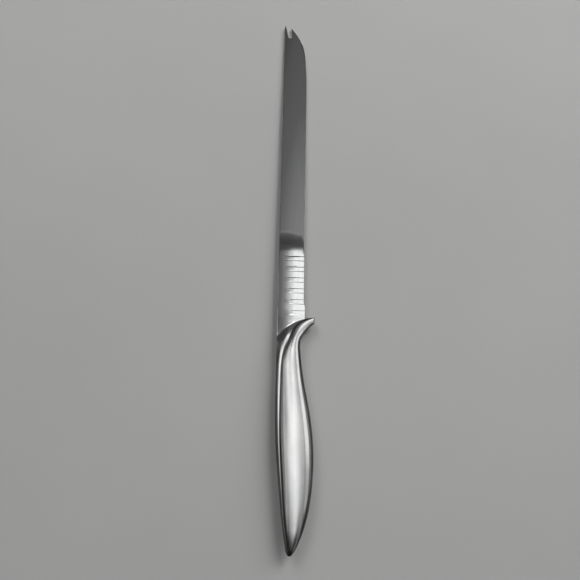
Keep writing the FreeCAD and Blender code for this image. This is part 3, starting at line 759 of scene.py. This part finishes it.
brink = skin[-1]
kept_rows = GRIP_ROWS + GUARD_ROWS - ROWS_FILED_AWAY
skin_rows = list(skin[:kept_rows])
inward = skin[kept_rows] - brink
inward /= np.linalg.norm(inward, axis=1)[:, None]
drop = np.minimum(EDGE_ROUND, DROP_SHARE * brink[:, 2])
for turn in np.linspace(0, math.pi / 2, ROUND_STEPS):
    row = brink + inward * EDGE_ROUND * (1 - math.sin(turn))
    row[:, 2] -= drop * (1 - math.cos(turn))
    skin_rows.append(row)

corners = np.vstack(skin_rows)
faces = []
for row in range(len(skin_rows) - 1):
    for column in range(columns - 1):
        start = row * columns + column
        faces.append((start, start + 1, start + 1 + columns, start + columns))

last = (len(skin_rows) - 1) * columns
floor_points = []
chain = [last]
used = 0
for column in range(1, columns - 1):
    x, y = corners[last + column, :2]
    earlier = corners[chain[-1], :2] if chain[-1] < len(corners) else floor_points[-1][:2]
    if min(math.dist((x, y), earlier), math.dist((x, y), corners[last + columns - 1, :2])) > WALL_GAP:
        floor_points.append((x, y, 0.0))
        chain.append(len(corners) + len(floor_points) - 1)
        rim = range(last + column, last + used - 1, -1)
        faces.append(tuple(dict.fromkeys((chain[-2], chain[-1], *rim))))
        used = column
faces.append((chain[-1], *range(last + columns - 1, last + used - 1, -1)))
faces.append(tuple(range(columns)))
corners = np.vstack([corners, floor_points])
print(len(faces), "faces in each half")

# %% [markdown]
# The painted shade stops where the filed front edge and the wall behind it begin. Only the blunt end of the
# hook gets painted shade again.

# %% Painted shade
HOOK_SHADE = 0.0008, 0.0002
SEEN_AS_DARK = 0.3

painted_shade = np.zeros(len(corners))
painted_shade[:kept_rows * columns] = shade_share[:kept_rows].ravel()
painted_shade = np.maximum(painted_shade, smooth_step(*HOOK_SHADE, GUARD_REACH - corners[:, 0]))
print("tarnish on", round(float((painted_shade > SEEN_AS_DARK).mean()) * 100), "% of the points")

# %% [markdown]
# A piece made here takes the place of one solid, which is hidden: it rides on the body named root. Edges
# sharper than a crease stay sharp, and all others are shaded smooth. The left half is the right one turned
# over, with its faces listed the other way round so that they look outwards too.

# %% Both halves
CREASE = math.radians(38)


def add_piece(name, points, polygons, finish, node):
    """Put a mesh in the scene in place of one solid."""
    mesh = bpy.data.meshes.new(name)
    mesh.from_pydata(np.clip(points, *cad_box).tolist(), [], polygons)
    mesh.materials.append(finish)
    mesh.shade_smooth()
    mesh.set_sharp_from_angle(angle=CREASE)
    mesh.validate()
    piece = bpy.data.objects.new(name, mesh)
    bpy.context.scene.collection.objects.link(piece)
    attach(piece, "root")
    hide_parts(node)
    print(name, "has", len(mesh.polygons), "faces")
    return piece


turned_over = corners * (1, 1, -1)
halves = [
    add_piece("right_half", corners + maker_corner, faces, satin,
              "handle_shell_right"),
    add_piece("left_half", turned_over + maker_corner, [face[::-1] for face in faces], satin,
              "handle_shell_left"),
]
# Each half carries its painted shade as a value on its points, read by the satin finish
for half in halves:
    half.data.attributes.new("painted_shade", "FLOAT", "POINT").data.foreach_set("value", painted_shade)

# %% [markdown]
# ## The blade
# The blade is ground from one flat bar: a straight spine, a heel a little wider than the rest, a belly that
# curves up to the tip, and a fork cut into the tip for lifting slices. Its face is not flat but falls away in
# one long curve from the spine to the edge. A grid of points follows that outline, and a formula for the
# thickness lifts each point, so the mesh is fine only where the flutes and the fork need it.

# %% Outline of the blade
BLADE_LENGTH = 0.2290
BLADE_WIDTH = 0.0164
HEEL_WIDTH = 0.0176
HEEL_LENGTH = 0.0165
HEEL_STEP = 0.0045
BELLY_LENGTH = 0.0530
BELLY_DROP = 0.0015
BELLY_SHARE = 0.547
TIP_WIDTH = 0.0049
PRONG_DROP = 0.0012

belly_start = BLADE_LENGTH - BELLY_LENGTH
belly_middle = np.array((BLADE_WIDTH - BELLY_DROP, belly_start + BELLY_LENGTH * BELLY_SHARE))
edge_tip = np.array((TIP_WIDTH, BLADE_LENGTH - PRONG_DROP))
rise = belly_middle[1] - belly_start
slow_radius = (rise ** 2 + BELLY_DROP ** 2) / (2 * BELLY_DROP)
slow_centre = np.array((BLADE_WIDTH - slow_radius, belly_start))
inwards = (slow_centre - belly_middle) / slow_radius
to_tip = edge_tip - belly_middle
quick_radius = to_tip.dot(to_tip) / (2 * to_tip.dot(inwards))
quick_centre = belly_middle + inwards * quick_radius


def arc_x(y, centre, radius):
    """Where an arc runs at a given y, on its edge side."""
    return centre[0] + np.sqrt(np.maximum(radius ** 2 - (y - centre[1]) ** 2, 0))


def edge_x(y):
    """Where the cutting edge runs: the heel, its step, the straight stretch and the belly's two arcs."""
    line = np.interp(y, [HEEL_LENGTH, HEEL_LENGTH + HEEL_STEP], [HEEL_WIDTH, BLADE_WIDTH])
    slow, quick = arc_x(y, slow_centre, slow_radius), arc_x(y, quick_centre, quick_radius)
    return np.where(y < belly_start, line, np.where(y < belly_middle[1], slow, quick))


def front_y(x):
    """Where the front arc of the handle runs at a given x."""
    return front_centre[1] + np.sqrt(FRONT_RADIUS ** 2 - (x - front_centre[0]) ** 2)


print("belly arcs of", round(slow_radius * 1000), "and", round(quick_radius * 1000), "mm")

# %% [markdown]
# The thickness has four parts. The spine's corners are broken with a stone, the face falls in a curve, a
# narrow bevel takes it down to the edge, and shallow flutes are ground across the heel with the rim of a
# wheel. The wheel's two corners cut a fine line at each side of a flute, and between two flutes a low rib is
# left, which leans a little less and so looks dimmer. Where the face meets the handle the wheel runs out, and
# leaves a thin ramp that shines as a bright line along the front arc.

# %% Thickness of the blade
BLADE_HALF = 0.0010
EDGE_HALF = 0.00022
EDGE_THIN = 0.00002
EDGE_BEVEL, BELLY_BEVEL = 0.0013, 0.0006
SPINE_FLAT = 0.0020
GRIND_CURVE = 0.0100
SPINE_ROUND = 0.00025
FLUTE_COUNT = 7
FLUTE_PITCH = 0.00716
FLUTE_START = 0.0105
FLUTE_HALF = 0.0021
FLUTE_DEPTH = 0.00006
FLUTE_RISE = 0.0040
FLUTE_FADE_FAR, FLUTE_FADE_NEAR = 0.0030, 0.0080
LINE_HALF = 0.0004
RIB_RISE = 0.00007
RIB_EASE = 0.0010
RIB_FOOT, RIB_CREST, RIB_END = 0.0040, 0.0105, 0.0148
RUN_OUT_DEPTH = 0.00008
RUN_OUT_WIDTH = 0.0008
RUN_OUT_START = 0.005

grind_end = BLADE_WIDTH - EDGE_BEVEL
grind_slope = (BLADE_HALF - EDGE_HALF) / (grind_end - SPINE_FLAT - GRIND_CURVE / 2)
flute_lines = FLUTE_START + FLUTE_PITCH * np.arange(FLUTE_COUNT)
border_lines = np.concatenate([flute_lines - FLUTE_HALF, flute_lines[:-1] + FLUTE_HALF])


def flute_cut(x, y):
    """How deep the right face is cut at a point by the flutes' lines and the run-out, less the ribs."""
    fade = np.interp(y, [border_lines[0], border_lines.max()], [FLUTE_FADE_NEAR, FLUTE_FADE_FAR])
    depth = FLUTE_DEPTH * np.clip((x - fade) / FLUTE_RISE, 0, 1)
    off_line = np.abs(y[..., None] - border_lines).min(axis=-1)
    off_handle = np.hypot(x - front_centre[0], y - front_centre[1]) - FRONT_RADIUS
    ramp_depth = RUN_OUT_DEPTH * np.clip((x - RUN_OUT_START) / (HEEL_WIDTH - RUN_OUT_START), 0, 1)
    run_out = ramp_depth * np.clip(1 - off_handle / RUN_OUT_WIDTH, 0, 1)
    off_flute = np.abs(y[..., None] - flute_lines).min(axis=-1)
    fluted = (y > border_lines.min()) & (y < border_lines.max())
    rib = RIB_RISE * np.interp(x, [RIB_FOOT, RIB_CREST, RIB_END], [0, 1, 0])
    rib *= fluted * smooth_step(FLUTE_HALF - RIB_EASE, FLUTE_HALF + RIB_EASE, off_flute)
    return np.maximum(depth * np.clip(1 - off_line / LINE_HALF, 0, 1), run_out) - rib


def ground(x):
    """Half the thickness that the long curve of the face leaves."""
    into = np.clip(x - SPINE_FLAT, 0, None)
    curve = np.minimum(into, GRIND_CURVE)
    return BLADE_HALF - grind_slope * (curve ** 2 / (2 * GRIND_CURVE) + into - curve)


def half_thickness(x, y, edge):
    """Half the blade's thickness at a point, without flutes."""
    corner = np.clip(SPINE_ROUND - x, 0, SPINE_ROUND)
    broken = ground(x) - SPINE_ROUND + np.sqrt(SPINE_ROUND ** 2 - corner ** 2)
    bevel_width = np.interp(y, [belly_start, belly_middle[1]], [EDGE_BEVEL, BELLY_BEVEL])
    bevel = EDGE_THIN + np.maximum(edge - x, 0) * np.maximum(ground(edge), EDGE_HALF) / bevel_width
    return np.where(y > HEEL_LENGTH, np.minimum(broken, bevel), np.maximum(broken, EDGE_THIN))


print("face falls", round(math.degrees(math.atan(grind_slope)), 2), "degrees at the edge")

# %% [markdown]
# Rows of points run across the blade. Near the handle they follow the front arc, over the flutes they lie
# close together, and on the plain stretch they are far apart. At the fork each row splits in two, and the two
# sets of rows become the two prongs.

# %% Rows across the blade
FORK_DEPTH = 0.0106
FORK_WIDTH = 0.0032
FORK_LEAN_SHARE = 0.75
PRONG_WIDTH = 0.0024
PRONG_POINT = 0.0005
HEEL_ROWS, HEEL_ROWS_END, HEEL_CROWDING = 32, 0.014, 1.7
FLUTE_ROW_GAP, FLUTE_ROWS_END = 0.00014, 0.062
PLAIN_ROWS, BELLY_ROWS = 30, 44

fork_bottom = BLADE_LENGTH - FORK_DEPTH
fork_radius = FORK_WIDTH / 2
fork_middle = PRONG_WIDTH + fork_radius
fork_lean = (PRONG_WIDTH - PRONG_POINT) / FORK_DEPTH
spine_columns = np.array((0, 0.015, 0.04, 0.08, 0.2, 0.4, 0.6, 0.8, 1.0))
edge_columns = np.concatenate([np.linspace(0, 0.92, 17), (0.945, 0.97, 0.99, 1.0)])


def row_across(left, right, edge):
    """The x of each point of a row, given where the spine's side ends and the edge's side starts."""
    return np.concatenate([spine_columns * left, right + edge_columns * (edge - right)])


across_rows, along_rows = [], []
for way in np.linspace(0, 1, HEEL_ROWS) ** HEEL_CROWDING:
    x = row_across(fork_middle, fork_middle, HEEL_WIDTH)
    across_rows.append(x)
    along_rows.append(between(front_y(x), HEEL_ROWS_END, way))
levels = np.concatenate([
    np.arange(HEEL_ROWS_END, FLUTE_ROWS_END, FLUTE_ROW_GAP)[1:],
    np.linspace(FLUTE_ROWS_END, belly_start, PLAIN_ROWS),
    np.linspace(belly_start, fork_bottom, BELLY_ROWS)[1:],
])
for y in levels:
    x = row_across(fork_middle, fork_middle, edge_x(y))
    across_rows.append(x)
    along_rows.append(np.full_like(x, y))
body_x, body_y = np.array(across_rows), np.array(along_rows)
print("blade grid:", body_x.shape)

# %% [markdown]
# The fork is sawn out and filed to a round bottom, and its walls lean, so both prongs end in a point. The
# prong on the edge side stops where the wall of the fork meets the belly, found by trying many heights.

# %% Prongs
BOWL_ROWS, PRONG_ROWS = 10, 30
SEARCH_STEPS = 2000


def notch_sides(y):
    """The two walls of the fork at a given y: a round bottom, then straight leaning walls."""
    up = np.minimum(y - fork_bottom, fork_radius)
    half = np.sqrt(np.maximum(fork_radius ** 2 - (fork_radius - up) ** 2, 0))
    over = np.maximum(y - fork_bottom - fork_radius, 0)
    return fork_middle - half - fork_lean * over, fork_middle + half - fork_lean * FORK_LEAN_SHARE * over


def prong_levels(top):
    """Heights of the rows of a prong, close together round the bottom of the fork."""
    turn = np.linspace(0, math.pi / 2, BOWL_ROWS)
    bowl = fork_bottom + fork_radius * (1 - np.cos(turn))
    return np.concatenate([bowl, np.linspace(bowl[-1], top, PRONG_ROWS)[1:]])


search = np.linspace(fork_bottom + fork_radius, edge_tip[1], SEARCH_STEPS)
closed = edge_x(search) - notch_sides(search)[1] < EDGE_THIN
edge_top = search[closed.argmax()] if closed.any() else edge_tip[1]
spine_levels, edge_levels = prong_levels(BLADE_LENGTH), prong_levels(edge_top)
tip_line = TIP_WIDTH * (BLADE_LENGTH - spine_levels) / PRONG_DROP
spine_wall = np.minimum(notch_sides(spine_levels)[0], tip_line + EDGE_THIN)
spine_x = spine_wall[:, None] * spine_columns
edge_wall = notch_sides(edge_levels)[1]
edge_end = np.maximum(edge_x(edge_levels), edge_wall)
edge_prong_x = edge_wall[:, None] + edge_columns * (edge_end - edge_wall)[:, None]
print("edge prong ends", round((BLADE_LENGTH - edge_top) * 1000, 2), "mm below the spine's")

# %% [markdown]
# Each patch of the grid is lifted to both faces, and walls join the two along the outline. Where the edge
# runs slanting, as on the belly, the bevel is measured square to it, or it would grow wider towards the tip.

# %% Build the blade
BEND_STEPS = 2000


def weave(points, polygons, patch):
    """Add a grid of points to a list of corners and faces."""
    first = len(points)
    rows, columns = patch.shape[:2]
    points.extend(map(tuple, patch.reshape(-1, 3)))
    for row in range(rows - 1):
        for column in range(columns - 1):
            start = first + row * columns + column
            polygons.append((start, start + 1, start + 1 + columns, start + columns))


def both_faces(x, y):
    """The right and the left face of a patch of the blade."""
    edge = edge_x(y)
    heights = np.linspace(0, BLADE_LENGTH, BEND_STEPS)
    lean = np.interp(y, heights, np.gradient(edge_x(heights), BLADE_LENGTH / (BEND_STEPS - 1)))
    square = x + (edge - x) * (1 - 1 / np.sqrt(1 + lean ** 2))
    plain = half_thickness(square, y, edge)
    carved = np.maximum(plain - flute_cut(x, y), EDGE_THIN)
    return np.stack([x, y, carved], axis=-1), np.stack([x, y, -plain], axis=-1)


points, polygons = [], []
split = len(spine_columns)
body_right, body_left = both_faces(body_x, body_y)
spine_right, spine_left = both_faces(spine_x, np.repeat(spine_levels[:, None], split, axis=1))
edge_right, edge_left = both_faces(edge_prong_x, np.repeat(edge_levels[:, None], len(edge_columns), axis=1))
sides = [(body_right, body_left, 0), (spine_right, spine_left, -1), (edge_right, edge_left, -1)]
for right, left, end in sides:
    weave(points, polygons, right)
    weave(points, polygons, left)
    weave(points, polygons, np.stack([right[end], left[end]]))
    for side in (0, -1):
        weave(points, polygons, np.stack([right[:, side], left[:, side]]))
print(len(polygons), "faces before welding")

# %% [markdown]
# The tang that runs into the handle is a plain tapering bar, hidden in the cement. Points of the blade that
# fall on each other are then welded, which closes the mesh all round.

# %% Add the tang and weld
TANG_HALF = 0.00075
# Without a y of its own, a corner lies on the front arc
TANG_CORNERS = [(0.0036, None), (0.0058, -0.0068), (0.0080, -0.0820),
                (0.0120, -0.0820), (0.0112, -0.0068), (0.0090, None)]
WELD = 0.000001

first, count = len(points), len(TANG_CORNERS)
for face in (TANG_HALF, -TANG_HALF):
    points.extend((x, front_y(x) if y is None else y, face) for x, y in TANG_CORNERS)
polygons.append(tuple(range(first, first + count)))
polygons.append(tuple(range(first + count, first + 2 * count)))
for i in range(count):
    after = (i + 1) % count
    polygons.append((first + i, first + after, first + count + after, first + count + i))

blade = add_piece("forked_blade", np.array(points) + maker_corner, polygons, polished, "blade")
bench = bmesh.new()
bench.from_mesh(blade.data)
bmesh.ops.remove_doubles(bench, verts=bench.verts, dist=WELD)
bmesh.ops.recalc_face_normals(bench, faces=bench.faces)
open_edges = sum(edge.is_boundary for edge in bench.edges)
bench.to_mesh(blade.data)
bench.free()
blade.data.shade_smooth()
blade.data.set_sharp_from_angle(angle=CREASE)
print("blade welded to", len(blade.data.vertices), "points,", open_edges, "open edges")

# %% [markdown]
# ## Size
# The dressed knife has to stay as large as its solids, so every piece made here is clipped to their box. That
# box is printed.

# %% Box of the solids
print("solids:", [round(value * 1000, 2) for value in cad_box[1] - cad_box[0]], "mm")
